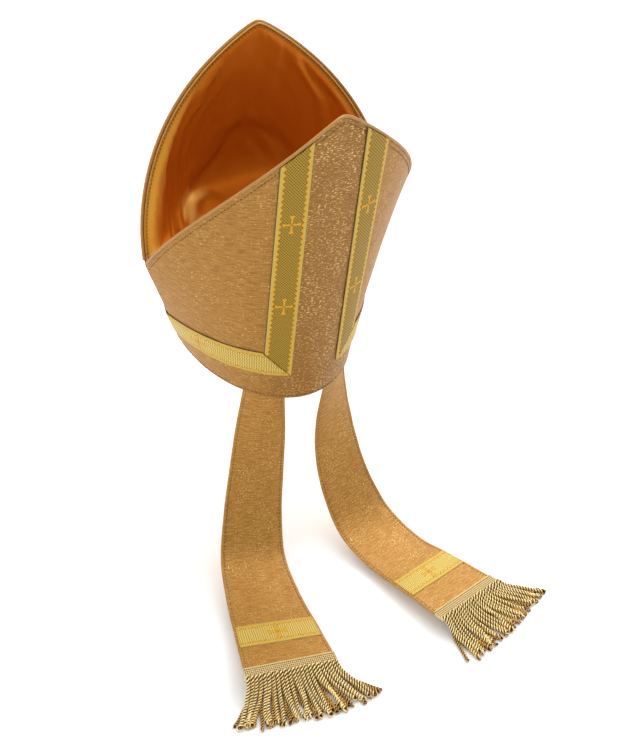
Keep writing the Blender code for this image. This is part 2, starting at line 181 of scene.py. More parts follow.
def step_up(x):
    """A smooth rise from 0 to 1 as x goes from 0 to 1."""
    x = np.clip(x, 0.0, 1.0)
    return x * x * (3 - 2 * x)


def bump_at(distance, place, width):
    return np.exp(-((distance - place) / width) ** 2)


def waves(a, b, seed):
    """A smooth, gently random field between about -1 and 1, of two lengths in metres."""
    random = np.random.default_rng(seed)
    total = np.zeros(np.broadcast(a, b).shape)
    for _ in range(7):
        length = random.uniform(0.018, 0.070)
        turn = random.uniform(0, math.pi)
        phase = random.uniform(0, 2 * math.pi)
        total = total + np.sin((a * math.cos(turn) + b * math.sin(turn)) * 2 * math.pi / length + phase)
    return total / 4.0


# ---- the crown's curved walls

def rim_section():
    """A quarter of the rim's oval at even steps, and its length."""
    angle = np.linspace(0.0, math.pi / 2, SAMPLES)
    x = RIM_HALF_WIDTH * np.sin(angle)
    y = RIM_HALF_DEPTH * np.cos(angle)
    length = np.concatenate(([0.0], np.cumsum(np.hypot(np.diff(x), np.diff(y)))))
    even = np.linspace(0.0, length[-1], SAMPLES)
    return np.interp(even, length, x), np.interp(even, length, y), length[-1]


def bent_section():
    """Half of a panel's section at BENT_HEIGHT, built up from how far it has turned."""
    share = np.linspace(0.0, 1.0, SAMPLES)
    turn = BENT_TURN * (BENT_EVENNESS * share + (1.0 - BENT_EVENNESS) * share ** 3)
    step = BENT_HALF_ARC / (SAMPLES - 1)
    x = np.concatenate(([0.0], np.cumsum((np.cos(turn[1:]) + np.cos(turn[:-1])) / 2 * step)))
    y = np.concatenate(([0.0], np.cumsum((np.sin(turn[1:]) + np.sin(turn[:-1])) / 2 * step)))
    return x, y[-1] - y


SHARE = np.linspace(0.0, 1.0, SAMPLES)
RIM_X, RIM_Y, RIM_HALF_ARC = rim_section()
BENT_X, BENT_Y = bent_section()
LEANED = np.array(Matrix.Rotation(-LEAN_BACK, 3, "X"))


def face(half, u, z):
    """Points of a panel's outer face, upright; u runs from -1 to 1, seam to seam."""
    u, z = np.broadcast_arrays(np.asarray(u, float), np.asarray(z, float))
    k = z / BENT_HEIGHT
    share = np.abs(u)
    x = (1 - k) * np.interp(share, SHARE, RIM_X) + k * np.interp(share, SHARE, BENT_X)
    y = (1 - k) * np.interp(share, SHARE, RIM_Y) + k * np.interp(share, SHARE, BENT_Y)
    if half == FRONT:
        y = y + FRONT_EXTRA * k * (1.0 - share)
    return np.stack([np.copysign(x, u), half * y, z], axis=-1)


def face_normal(half, u, z):
    step = 0.003
    along = face(half, np.minimum(u + step, 1.0), z) - face(half, np.maximum(u - step, -1.0), z)
    up = face(half, u, z + step) - face(half, u, z - step)
    normal = unit(np.cross(along, up))
    return normal * np.sign(normal[..., 1:2] * half)


def half_arc(z):
    """Half a panel's width at a height, measured round it."""
    return RIM_HALF_ARC + (BENT_HALF_ARC - RIM_HALF_ARC) * z / BENT_HEIGHT


def wall(half, u, z, depth):
    """Points at a depth inside a panel's face, leaned back.

    They are drawn in towards the middle so that at the side seams they end in the seam's plane.
    """
    u, z, depth = np.broadcast_arrays(*(np.asarray(given, float) for given in (u, z, depth)))
    seam = face_normal(half, np.ones_like(z), z)
    slack = np.maximum(depth, 0.0) * np.abs(seam[..., 1] / seam[..., 0]) / half_arc(z)
    spot = u * (1.0 - slack)
    normal = face_normal(half, spot, z)
    edge = np.abs(u) > 0.999
    sideways = np.zeros_like(normal)
    sideways[..., 0] = 1.0 / np.where(edge, normal[..., 0], 1.0)
    normal = np.where((edge & (depth < 0))[..., None], sideways, normal)
    return (face(half, spot, z) - normal * depth[..., None]) @ LEANED.T


def edge_height(u):
    """Height of the pointed edge: an arc from side point to peak, rounded at the peak."""
    rise = PEAK_HEIGHT - SIDE_HEIGHT
    chord = math.hypot(EDGE_RUN, rise)
    radius = (chord ** 2 / 4 + EDGE_BOW ** 2) / (2 * EDGE_BOW)
    centre_run = EDGE_RUN / 2 + rise / chord * (radius - EDGE_BOW)
    centre_rise = rise / 2 - EDGE_RUN / chord * (radius - EDGE_BOW)
    run = EDGE_RUN - np.hypot(np.asarray(u, float) * EDGE_RUN, PEAK_ROUND)
    return SIDE_HEIGHT + centre_rise + np.sqrt(radius ** 2 - (run - centre_run) ** 2)


def edge_steepness(u):
    """Vertical distance that goes with one unit square to the pointed edge."""
    step = 0.004
    climb = (edge_height(u + step) - edge_height(u - step)) / (2 * step * EDGE_RUN)
    return np.sqrt(1 + climb ** 2)


def edge_height_at_arc(arc):
    """Height of the pointed edge at a distance round the panel, by repeated correction."""
    z = np.full(np.shape(arc), SIDE_HEIGHT)
    for _ in range(6):
        z = edge_height(arc / half_arc(z))
    return z


# ---- meshes

def mesh_object(name, points, faces, uv, finishes, slots, sharp=math.radians(50)):
    """An object from arrays: uv is one pair for each point, slots one number for each face."""
    data = bpy.data.meshes.new(name)
    data.from_pydata(np.asarray(points).tolist(), [], faces)
    layer = data.uv_layers.new(name="cloth")
    corners = np.empty(len(data.loops), dtype=np.int32)
    data.loops.foreach_get("vertex_index", corners)
    layer.data.foreach_set("uv", np.asarray(uv, dtype=np.float32)[corners].ravel())
    for finish in finishes:
        data.materials.append(finish)
    data.polygons.foreach_set("material_index", np.asarray(slots, dtype=np.int32))
    data.polygons.foreach_set("use_smooth", np.ones(len(faces), dtype=bool))
    if sharp:
        data.set_sharp_from_angle(angle=sharp)
    data.update()
    made = bpy.data.objects.new(name, data)
    bpy.context.scene.collection.objects.link(made)
    return made


def sheet_arrays(outer, inner, uv):
    """Points, faces, uv and slots (0 outer, 1 inner, 2 edge) of a closed sheet between two grids."""
    rows, columns = outer.shape[:2]
    count = rows * columns
    index = np.arange(count).reshape(rows, columns)
    top = np.stack([index[:-1, :-1], index[:-1, 1:], index[1:, 1:], index[1:, :-1]], axis=-1).reshape(-1, 4)
    lines = (index[0], index[:, -1], index[-1, ::-1], index[::-1, 0])
    edges = [np.stack([k[1:], k[:-1], k[:-1] + count, k[1:] + count], axis=-1) for k in lines]
    edges = np.concatenate(edges)
    faces = np.concatenate([top, top[:, ::-1] + count, edges])
    slots = np.concatenate([np.zeros(len(top)), np.ones(len(top)), np.full(len(edges), 2)])
    middle = (rows // 2, columns // 2)
    across = outer[middle[0], middle[1] + 1] - outer[middle]
    along = outer[middle[0] + 1, middle[1]] - outer[middle]
    if np.dot(np.cross(across, along), outer[middle] - inner[middle]) < 0:
        faces = faces[:, ::-1]
    points = np.concatenate([outer.reshape(-1, 3), inner.reshape(-1, 3)])
    flat = uv.reshape(-1, 2)
    return points, faces.tolist(), np.concatenate([flat, flat]), slots


def closed_sheet(name, outer, inner, uv, finishes):
    points, faces, flat, slots = sheet_arrays(outer, inner, uv)
    return mesh_object(name, points, faces, flat, finishes, slots)


def grid_normals(grid):
    across = np.gradient(grid, axis=1)
    along = np.gradient(grid, axis=0)
    normal = np.cross(across, along)
    return normal / np.maximum(np.linalg.norm(normal, axis=2, keepdims=True), 1e-12)


def frames_along(path):
    """Tangents and a steady sideways direction along a path of points."""
    tangent = unit(np.gradient(path, axis=0))
    side = np.empty_like(path)
    first = np.array([0.0, 0.0, 1.0]) if abs(tangent[0][2]) < 0.8 else np.array([1.0, 0.0, 0.0])
    for i, forward in enumerate(tangent):
        first = unit(first - forward * np.dot(first, forward))
        side[i] = first
    return tangent, side, np.cross(tangent, side)


def tube_arrays(path, radius, sides, slot=0, outward=None):
    """Points, faces, uv and slots of a closed tube; uv is the turn from outward and the length."""
    path = np.asarray(path, float)
    radius = np.broadcast_to(radius, len(path)).astype(float)
    tangent, side, other = frames_along(path)
    if outward is not None:
        side = unit(outward - tangent * np.sum(outward * tangent, axis=1, keepdims=True))
        other = np.cross(tangent, side)
    angle = np.arange(sides) * 2 * math.pi / sides
    ring = np.cos(angle)[None, :, None] * side[:, None] + np.sin(angle)[None, :, None] * other[:, None]
    points = (path[:, None] + ring * radius[:, None, None]).reshape(-1, 3)
    count = len(path)
    index = np.arange(count * sides).reshape(count, sides)
    after = np.roll(index, -1, axis=1)
    faces = np.stack([index[:-1], after[:-1], after[1:], index[1:]], axis=-1).reshape(-1, 4).tolist()
    points = np.concatenate([points, path[:1], path[-1:]])
    near_cap = count * sides
    far_cap = near_cap + 1
    faces += [[near_cap, a, b] for a, b in zip(after[0].tolist(), index[0].tolist())]
    faces += [[far_cap, a, b] for a, b in zip(index[-1].tolist(), after[-1].tolist())]
    length = lengths_along(path)
    around = np.broadcast_to((1 - np.cos(angle)) / 2, (count, sides))
    uv = np.stack([around, np.broadcast_to(length[:, None], (count, sides))], axis=-1).reshape(-1, 2)
    uv = np.concatenate([uv, [[0.5, 0.0], [0.5, length[-1]]]])
    return points, faces, uv, np.full(len(faces), slot)


def joined(name, parts, finishes, sharp=None):
    """One object from several sets of points, faces, uv and slots."""
    points, faces, uvs, slots = [], [], [], []
    start = 0
    for some_points, some_faces, uv, some_slots in parts:
        points.append(some_points)
        faces += [[i + start for i in corners] for corners in some_faces]
        uvs.append(uv)
        slots.append(some_slots)
        start += len(some_points)
    return mesh_object(name, np.concatenate(points), faces, np.concatenate(uvs), finishes,
                       np.concatenate(slots), sharp)





def stitches(path, out, length=2.2 * MM, gap=1.0 * MM, radius=0.32 * MM):
    """A row of thread ends along a path that lies in a surface with normals out."""
    travel = lengths_along(path)
    swell = np.array([0.35, 0.85, 1.0, 0.85, 0.35])
    rise = np.array([-0.6, 0.25, 0.5, 0.25, -0.6])
    parts = []
    start = gap
    while start + length < travel[-1]:
        at = np.linspace(start, start + length, len(rise))
        lift = points_at(at, travel, out) * (rise * radius)[:, None]
        parts.append(tube_arrays(points_at(at, travel, path) + lift, swell * radius, 5))
        start += length + gap
    return parts


def placed(piece, slot_name, *nodes):
    """Set a piece on the mitre's one body, in place of the part's nodes that it shows."""
    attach(piece, "root")
    if nodes:
        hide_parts(*nodes)
    return piece


# ---- materials

class Shader:
    """A short way to write a node material with one Principled shader."""

    def __init__(self, name, **values):
        self.material = bpy.data.materials.new(name)
        self.material.use_nodes = True
        self.tree = self.material.node_tree
        self.principled = self.tree.nodes["Principled BSDF"]
        for key, value in values.items():
            self.principled.inputs[key.replace("_", " ")].default_value = value

    def node(self, kind, *inputs, **settings):
        """A node; settings with a capital are its inputs, the others its own properties."""
        made = self.tree.nodes.new("ShaderNode" + kind)
        for key, value in settings.items():
            if key[0].isupper():
                self.put(made.inputs[key.replace("_", " ")], value)
            else:
                setattr(made, key, value)
        for socket, value in zip(made.inputs, inputs):
            if value is not None:
                self.put(socket, value)
        return made

    def put(self, socket, value):
        if isinstance(value, bpy.types.NodeSocket):
            self.tree.links.new(value, socket)
        else:
            socket.default_value = value

    def math(self, operation, a, b=0.0):
        return self.node("Math", a, b, operation=operation).outputs[0]

    def add(self, a, b):
        return self.math("ADD", a, b)

    def less(self, a, b):
        return self.math("SUBTRACT", a, b)

    def times(self, a, b):
        return self.math("MULTIPLY", a, b)

    def spread(self, noise, reach):
        """A noise about 0.5 made into one about 0, of a given reach."""
        return self.times(self.less(noise, 0.5), reach)

    def mix(self, share, a, b):
        made = self.node("Mix", data_type="RGBA")
        self.put(made.inputs["Factor"], share)
        sockets = [s for s in made.inputs if s.type == "RGBA"]
        self.put(sockets[0], a)
        self.put(sockets[1], b)
        return [s for s in made.outputs if s.type == "RGBA"][0]

    def ramp(self, value, low, high):
        """A smooth rise from 0 at low to 1 at high."""
        return self.node("MapRange", value, low, high, interpolation_type="SMOOTHSTEP").outputs[0]

    def uv(self, x_scale, y_scale):
        """The cloth's own coordinates in metres, scaled."""
        flat = self.node("UVMap", uv_map="cloth").outputs[0]
        return self.node("VectorMath", flat, (x_scale, y_scale, 1.0), operation="MULTIPLY").outputs[0]

    def millimetres(self):
        """The cloth's own coordinates in millimetres, apart."""
        apart = self.node("SeparateXYZ", self.uv(1 / MM, 1 / MM))
        return apart.outputs[0], apart.outputs[1]

    def noise(self, width, height, detail=2.0, rough=0.5, distortion=0.0):
        """Noise drawn on the cloth, of a grain so many metres wide and high."""
        made = self.node("TexNoise", Vector=self.uv(1 / width, 1 / height), Scale=1.0, Detail=detail,
                         Roughness=rough, Distortion=distortion, noise_dimensions="2D")
        return made.outputs["Fac"]

    def bump(self, height, distance):
        made = self.node("Bump", Height=height, Distance=distance, Strength=1.0)
        self.put(self.principled.inputs["Normal"], made.outputs[0])

    def set(self, **values):
        for key, value in values.items():
            self.put(self.principled.inputs[key.replace("_", " ")], value)


def colour(red, green, blue):
    """A colour given as on a screen, from 0 to 255."""
    return tuple(((c / 255 + 0.055) / 1.055) ** 2.4 if c > 10 else c / 255 / 12.92
                 for c in (red, green, blue)) + (1.0,)


def lame(name, ground, light, fleck, fleck_size, fleck_share, middle_shade_and_glints):
    """Metallic cloth: fine weft lines and small pale glints lying along them.

    The last argument darkens the cloth near a panel's middle with painted shade, since the middle faces
    neither side light, and gives it more glints there.
    """
    s = Shader(name, Specular_IOR_Level=0.3)
    x, _ = s.millimetres()
    streak = s.noise(10 * MM, 1.2 * MM, 3.0, 0.6, 0.2)
    patch = s.noise(24 * MM, 17 * MM)
    dash = s.noise(*fleck_size, 1.0, 0.5, 0.1)
    in_middle = s.ramp(s.math("ABSOLUTE", x), 62.0, 22.0)
    level = s.add(dash, s.spread(patch, 0.22))
    level = s.add(level, s.times(in_middle, middle_shade_and_glints))
    glint = s.ramp(level, fleck_share, fleck_share + 0.09)
    cloth = s.mix(s.ramp(streak, 0.32, 0.68), ground, light)
    # painted shade: the panel's middle mixed toward a darker tone
    cloth = s.mix(s.times(in_middle, 5 * middle_shade_and_glints), cloth, SHADED_LAME)
    s.set(Base_Color=s.mix(s.times(glint, 0.6), cloth, fleck))
    s.set(Roughness=s.less(0.5, s.times(glint, 0.2)))
    s.set(Metallic=s.add(0.32, s.times(glint, 0.35)))
    s.bump(s.add(s.times(streak, 0.9), s.times(glint, 0.45)), 0.25 * MM)
    return s.material


def satin(name, base, warm, metallic):
    """Soft satin: close gloss with faint woven lines and slight patches."""
    s = Shader(name, Roughness=0.40, Metallic=metallic, Sheen_Weight=0.2, Sheen_Roughness=0.3)
    s.principled.inputs["Sheen Tint"].default_value = (1.0, 0.70, 0.30, 1.0)
    patch = s.noise(30 * MM, 30 * MM)
    s.set(Base_Color=s.mix(s.ramp(patch, 0.3, 0.7), base, warm))
    s.bump(s.noise(0.4 * MM, 5 * MM), 0.04 * MM)
    return s.material


def lining_satin(name, crown_of_head, toward_light):
    """The lining's satin: painted highlight in amber by the sewn edge, widest at the wearer's left where
    the strongest light, from the wearer's right, falls inside; painted shade in deep orange further into
    the hollow; and a painted pale highlight ring over the crown of the head.
    """
    s = Shader(name, Roughness=0.46, Metallic=0.32, Specular_IOR_Level=0.2)
    s.principled.inputs["Specular Tint"].default_value = (1.0, 0.55, 0.12, 1.0)
    x, from_edge = s.millimetres()
    patch = s.noise(26 * MM, 34 * MM)
    inward = s.add(from_edge, s.spread(patch, 14.0))
    # painted highlight: the amber band by the sewn edge widens toward the wearer's left, where the key
    # light reaches the lining
    left = s.ramp(x, 20.0, 150.0)
    lit_band_width = s.add(4.0, s.times(left, 28.0))
    sewn = s.ramp(s.math("DIVIDE", inward, lit_band_width), 1.2, 0.3)
    sewn = s.times(sewn, s.add(0.12, s.times(left, 0.88)))
    shade = s.mix(sewn, ORANGE_SATIN, LIT_AMBER_SATIN)
    # painted shade: deep orange further into the hollow, where little light reaches
    shade = s.mix(s.ramp(inward, 50.0, 105.0), shade, SHADED_DEEP_SATIN)
    crescent = lit_crescent(s, patch, crown_of_head, toward_light)
    # painted highlight: the pale crescent on the lit side of the crown of the head
    s.set(Base_Color=s.mix(s.times(crescent, 0.85), shade, HIGHLIGHT_SATIN))
    s.bump(s.noise(0.4 * MM, 5 * MM), 0.04 * MM)
    return s.material


def lit_crescent(s, patch, centre, toward_light):
    """A soft pale ring about a place, on the side toward the light."""
    spot = s.node("TexCoord").outputs["Object"]
    offset = s.node("VectorMath", spot, tuple(centre), operation="SUBTRACT").outputs[0]
    away = s.node("VectorMath", offset, operation="LENGTH").outputs["Value"]
    lit = s.node("VectorMath", offset, tuple(toward_light), operation="DOT_PRODUCT").outputs["Value"]
    away = s.add(away, s.spread(patch, 8 * MM))
    ring = s.times(s.ramp(away, 9 * MM, 16 * MM), s.ramp(away, 24 * MM, 16 * MM))
    return s.times(ring, s.ramp(lit, -2 * MM, 14 * MM))


def net_threads(s, x, y):
    """Openwork ground: small dark meshes in staggered rows."""
    mesh_width, mesh_height = 1.25, 1.35
    over = s.math("COSINE", s.times(x, math.pi / mesh_width))
    up = s.math("COSINE", s.times(y, math.pi / mesh_height))
    return s.ramp(s.times(over, up), 0.55, -0.05)


def ribbed_threads(s, x, y):
    """The same ground drawn into wavy ribs across the band."""
    wave_length, rib_height = 3.6, 2.1
    sway = s.times(s.math("SINE", s.times(x, 2 * math.pi / wave_length)), 0.55)
    rib = s.math("SINE", s.add(s.times(y, math.pi / rib_height), sway))
    return s.ramp(s.math("ABSOLUTE", rib), 0.30, 0.85)


def cross_depth(s, x, along):
    """How far inside a cross with flared arms a place lies, in millimetres."""
    arm, flare_from, reach_across, reach_along = 0.9, 5.4, 7.5, 8.5
    long_way = s.math("MAXIMUM", x, along)
    short_way = s.math("MINIMUM", x, along)
    flare = s.math("MAXIMUM", s.less(long_way, flare_from), 0.0)
    depth = s.less(s.add(arm, s.times(flare, 0.48)), short_way)
    depth = s.math("MINIMUM", depth, s.less(reach_across, x))
    return s.math("MINIMUM", depth, s.less(reach_along, along))


def past_border(s, x, y):
    """How far a place lies past the toothed line where the border starts, in millimetres."""
    tooth_step, tooth_depth = 2.6, 2.3
    tooth = s.math("DIVIDE", s.math("PINGPONG", y, tooth_step), tooth_step)
    return s.less(x, s.less(GALLOON_EDGE - SELVEDGE, s.times(tooth, tooth_depth)))


def woven_band(name, cross_every, cross_phase, ribbed):
    """Galloon: openwork ground, plain selvedges, toothed borders and crosses at even steps."""
    s = Shader(name, Roughness=0.5, Metallic=0.2, Specular_IOR_Level=0.25)
    signed_x, y = s.millimetres()
    x = s.math("ABSOLUTE", signed_x)
    threads = ribbed_threads(s, signed_x, y) if ribbed else net_threads(s, signed_x, y)
    hollow, strand = RIBBED_GROUND if ribbed else NET_GROUND
    border = past_border(s, x, y)
    in_border = s.ramp(border, -0.12, 0.12)
    shade = s.mix(threads, hollow, strand)
    shade = s.mix(s.times(s.ramp(border, -0.60, -0.36), 0.75), shade, WOVEN_OUTLINE)
    shade = s.mix(in_border, shade, WOVEN_GOLD)
    ribs = s.math("SINE", s.times(y, 2 * math.pi / 1.1))
    plain = s.mix(s.ramp(ribs, -1.0, 1.0), *SELVEDGE_COLOURS)
    shade = s.mix(s.ramp(x, GALLOON_EDGE - SELVEDGE - 0.1, GALLOON_EDGE - SELVEDGE + 0.1), shade, plain)
    along = s.math("PINGPONG", s.add(y, cross_phase / MM), cross_every / MM / 2)
    depth = cross_depth(s, x, along)
    cross = s.ramp(depth, -0.10, 0.12)
    shade = s.mix(s.times(s.ramp(depth, -0.45, -0.25), 0.6), shade, WOVEN_OUTLINE)
    shade = s.mix(cross, shade, WOVEN_GOLD)
    from_heart = s.add(x, along)
    shade = s.mix(s.ramp(from_heart, 1.5, 1.3), shade, WOVEN_OUTLINE)
    shade = s.mix(s.ramp(from_heart, 0.9, 0.7), shade, WOVEN_GOLD)
    s.set(Base_Color=shade)
    raised = s.add(s.times(cross, 0.7), s.times(in_border, 0.5))
    s.bump(s.add(raised, s.times(threads, 0.6)), 0.35 * MM)
    return s.material


def thread(name, base, dark):
    """Sewing thread and turned edges: two mixed shades."""
    s = Shader(name, Roughness=0.5, Sheen_Weight=0.1)
    mixed = s.noise(0.25, 0.8 * MM)
    s.set(Base_Color=s.mix(s.ramp(mixed, 0.35, 0.65), base, dark))
    s.bump(mixed, 0.08 * MM)
    return s.material


def ply(name, crown, groove_shade):
    """One ply of a twisted cord: pale on its outer side, with painted shade on the side that lies between
    the plies.
    """
    s = Shader(name, Roughness=0.45, Metallic=0.25, Specular_IOR_Level=0.15)
    place = s.node("SeparateXYZ", s.uv(1.0, 1 / MM))
    from_outward, run = place.outputs[0], place.outputs[1]
    fibre = s.noise(1 / 3, 1.3 * MM)
    turn = s.add(from_outward, s.spread(fibre, 0.22))
    # painted shade: darker toward the side that lies between the two plies
    s.set(Base_Color=s.mix(s.ramp(turn, 0.02, 0.38), crown, groove_shade))
    strands = s.math("SINE", s.times(s.add(run, s.times(turn, 1.2)), 7.0))
    s.bump(strands, 0.05 * MM)
    return s.material


def braid(name):
    """Woven fringe heading: rows of small pale knots with dark gaps between."""
    s = Shader(name, Roughness=0.5, Metallic=0.1)
    x, y = s.millimetres()
    knot_width, knot_height = 1.8, 1.9
    first = s.math("SINE", s.times(x, 2 * math.pi / knot_width))
    second = s.math("SINE", s.add(s.times(y, 2 * math.pi / knot_height), 0.6))
    knot = s.add(s.times(first, 0.5), s.times(second, 0.5))
    s.set(Base_Color=s.mix(s.ramp(knot, -0.55, 0.35), colour(104, 70, 26), colour(232, 204, 140)))
    s.bump(knot, 0.45 * MM)
    return s.material


# painted shade for the middle of the crown's panels
SHADED_LAME = colour(112, 72, 22)
ORANGE_SATIN = colour(186, 100, 18)
# the lining's painted highlight colours (amber, pale) and painted shade colour (deep)
LIT_AMBER_SATIN = colour(226, 172, 68)
SHADED_DEEP_SATIN = colour(172, 88, 13)
HIGHLIGHT_SATIN = colour(240, 190, 96)
RIBBED_GROUND = (colour(158, 128, 50), colour(214, 188, 100))
NET_GROUND = (colour(98, 70, 14), colour(168, 136, 42))
SELVEDGE_COLOURS = (colour(182, 154, 64), colour(206, 180, 92))
WOVEN_OUTLINE = colour(116, 86, 26)
WOVEN_GOLD = colour(216, 158, 34)
GALLOON_EDGE = GALLOON_WIDTH / MM / 2
SELVEDGE = 2.5


LAME = lame("lame_gold", colour(148, 102, 42), colour(176, 128, 60), colour(244, 210, 140),
            (2.8 * MM, 0.95 * MM), 0.70, 0.08)
LAPPET_LAME = lame("lame_lappet", colour(156, 108, 42), colour(182, 134, 62), colour(246, 216, 146),
                   (1.7 * MM, 0.9 * MM), 0.66, 0.0)
BACKING = satin("gold_backing", colour(206, 156, 62), colour(190, 138, 48), 0.2)
EDGE = thread("turned_edge", colour(186, 136, 66), colour(150, 100, 44))
DARK_THREAD = thread("dark_thread", colour(106, 68, 28), colour(74, 44, 16))
# the second colour of each ply is its painted shade between the plies
CREAM_PLY = ply("cream_ply", colour(255, 232, 164), colour(104, 58, 18))
# a darker copy of the ply for the lower cords: painted shade where the upper cords cover them
SHADED_PLY = ply("shaded_ply", colour(206, 164, 92), colour(76, 40, 10))
BRAID = braid("woven_heading")


# ---- crown

def panel_rows():
    """Distances above the rim and, square to it, below the edge, where rows crowd."""
    low = np.array([0.0, 0.3, 0.7, 1.2, 1.8, 2.2, 2.6, 3.0, 3.5, 4.3, 6.0]) * MM
    high = np.array([9.0, 7.0, 5.6, 4.8, 4.2, 3.6, 3.0, 2.4, 1.7, 1.1, 0.6, 0.25, 0.0]) * MM
    return low, high


def panel_grid(columns=150, middle_rows=64):
    """Places over a whole panel: round it, above the rim and, square to it, below the edge."""
    us = np.linspace(-1.0, 1.0, 2 * columns + 1)
    us = np.sign(us) * np.abs(us) ** 1.1
    low, high = panel_rows()
    edge = edge_height(us)
    steep = edge_steepness(us)
    rows = [np.full_like(us, z) for z in low]
    top_of_middle = edge - high[0] * steep
    for i in range(1, middle_rows):
        rows.append(low[-1] + (top_of_middle - low[-1]) * i / middle_rows)
    rows += [edge - d * steep for d in high]
    z = np.array(rows)
    u = np.broadcast_to(us, z.shape)
    return u, z, (edge - z) / steep


def panel_sink(half, u, z, below):
    """How far the face cloth sinks: at its stitches, its seams, its turned edges and where it puckers."""
    arc = u * half_arc(z)
    from_seam = (1 - np.abs(u)) * half_arc(z)
    sink = 0.28 * MM * bump_at(below, STITCH_BELOW_EDGE, 0.7 * MM)
    sink += 0.28 * MM * bump_at(z, STITCH_ABOVE_RIM, 0.6 * MM)
    sink += 0.7 * MM * bump_at(from_seam, 0.0, 1.3 * MM)
    sink += 0.5 * MM * bump_at(z, 0.0, 0.7 * MM) + 0.5 * MM * bump_at(below, 0.0, 0.8 * MM)
    pucker = np.sin(arc * 2 * math.pi / (7.5 * MM) + 2 * waves(arc, z, 5))
    sink += 0.10 * MM * pucker * (bump_at(below, 5 * MM, 4 * MM) + bump_at(z, 4 * MM, 4 * MM))
    sink += 0.22 * MM * (1 + waves(arc, z, 11 + half))
    return np.maximum(sink, 0.0)


def panel(half, place):
    """A stiff panel with its face cloth, turned rim, sewn edges and backing."""
    u, z, below = panel_grid()
    outer = wall(half, u, z, panel_sink(half, u, z, below))
    inner = wall(half, u, z, WALL)
    uv = np.stack([u * half_arc(z), z], axis=-1)
    piece = closed_sheet(f"{place}_panel_cloth", outer, inner, uv, [LAME, BACKING, EDGE])
    placed(piece, "lame_cloth", f"{place}_panel")


def edge_path(half, share, depth, lift):
    """A line along the pointed edge, lifted square to it within the wall."""
    us = np.linspace(-1, 1, 240)
    us = np.sign(us) * np.abs(us) ** 1.5 * share
    z = edge_height(us)
    step = 0.002
    ahead = face(half, us + step, edge_height(us + step)) - face(half, us - step, edge_height(us - step))
    out = unit(np.cross(face_normal(half, us, z), ahead))
    out *= np.sign(out[:, 2:3])
    return wall(half, us, z, depth) + (out @ LEANED.T) * lift


def piping(half, place):
    """The turned edge: a slim corded roll, with a thinner satin roll just inside it."""
    parts = []
    outer = resampled(edge_path(half, 0.974, WALL * 0.42, PIPING_LIFT - 0.35 * MM), 1.6 * MM)
    parts.append(tube_arrays(outer, 1.25 * MM, 12, 0))
    inner = resampled(edge_path(half, 0.962, WALL + 0.9 * MM, 0.7 * MM), 1.6 * MM)
    parts.append(tube_arrays(inner, 0.9 * MM, 8, 1))
    placed(joined(f"{place}_turned_edge", parts, [EDGE, BACKING]), "edge_cloth", f"{place}_edge_piping")


def panel_stitches(half, place):
    """Dark thread below the pointed edge and above the rim."""
    us = np.linspace(-0.985, 0.985, 400)
    below_edge = edge_height(us) - STITCH_BELOW_EDGE * edge_steepness(us)
    above_rim = np.full_like(us, STITCH_ABOVE_RIM)
    parts = []
    for z, length, gap in ((below_edge, 2.2 * MM, 1.0 * MM), (above_rim, 2.6 * MM, 1.2 * MM)):
        normal = face_normal(half, us, z) @ LEANED.T
        parts += stitches(wall(half, us, z, STITCH_DEPTH), normal, length, gap)
    placed(joined(f"{place}_panel_stitches", parts, [DARK_THREAD]), "lame_cloth")


def lining_grid(columns=150, rows=150):
    """The lining's middle surface: rows run from the back edge to the front edge."""
    us = np.linspace(-LINING_END, LINING_END, columns + 1)
    angle = np.linspace(0.0, math.pi, 241)[:, None]
    top = edge_height(us) - LINING_DROP
    floor = LINING_FLOOR + (LINING_FLOOR_SIDE - LINING_FLOOR) * us * us
    floor = np.minimum(floor, top - LINING_LEAST_DEPTH)
    swing = np.abs(np.cos(angle)) ** (2 / LINING_SQUARENESS)
    share = (1 + np.copysign(swing, np.cos(angle))) / 2
    z = top - (top - floor) * np.sin(angle) ** (2 / LINING_SQUARENESS)
    u = np.broadcast_to(us, z.shape)
    back = wall(BACK, u, z, LINING_DEPTH) @ LEANED
    front = wall(FRONT, u, z, LINING_DEPTH) @ LEANED
    spot = back * share[..., None] + front * (1 - share[..., None])
    spread = (spot[..., 0] / LINING_DOME_WIDTH) ** 2 + (spot[..., 1] / LINING_DOME_DEPTH) ** 2
    spot[..., 2] += LINING_DOME * np.exp(-spread / 2) * np.sin(angle) ** 2
    t = np.linspace(0.0, 1.0, rows + 1)
    crowded = t - LINING_CROWDING * np.sin(2 * math.pi * t) / (2 * math.pi)
    lines = []
    for line in np.swapaxes(spot, 0, 1):
        length = lengths_along(line)
        lines.append(points_at(crowded * length[-1], length, line))
    return us, np.stack(lines, axis=1)


def lining_relief(spot, arc, from_edge, seed):
    """How far the loose satin stands out from its wall: puffs, valleys and soft long folds."""
    drift = 4 * MM * waves(arc, from_edge, seed)
    valley = np.interp(spot[..., 2], *VALLEY_PLACE)
    beside = np.abs(arc) + drift - valley
    puff = 4.2 * MM * (1 - bump_at(beside, 0.0, 7 * MM)) * step_up(0.5 + beside / (24 * MM))
    roll = 2.4 * MM * bump_at(beside, -10 * MM, 6 * MM) + 1.2 * MM * bump_at(beside, -27 * MM, 8 * MM)
    deep = from_edge - LINING_CREASE + 2.6 * drift
    bag = 2.0 * MM * step_up(deep / (34 * MM)) - 1.2 * MM * bump_at(deep, 0.0, 8 * MM)
    bag += 1.1 * MM * bump_at(deep, -16 * MM, 10 * MM)
    pucker = np.sin(arc * 2 * math.pi / (8.5 * MM) + 3 * waves(arc, from_edge, seed + 1))
    gathers = 0.45 * MM * pucker * bump_at(from_edge, 6 * MM, 5 * MM)
    gathers *= step_up(0.5 + waves(arc, 0 * arc, seed + 2))
    return 2.0 * MM + puff + roll + bag + gathers + 0.8 * MM * waves(arc, from_edge, seed + 3)


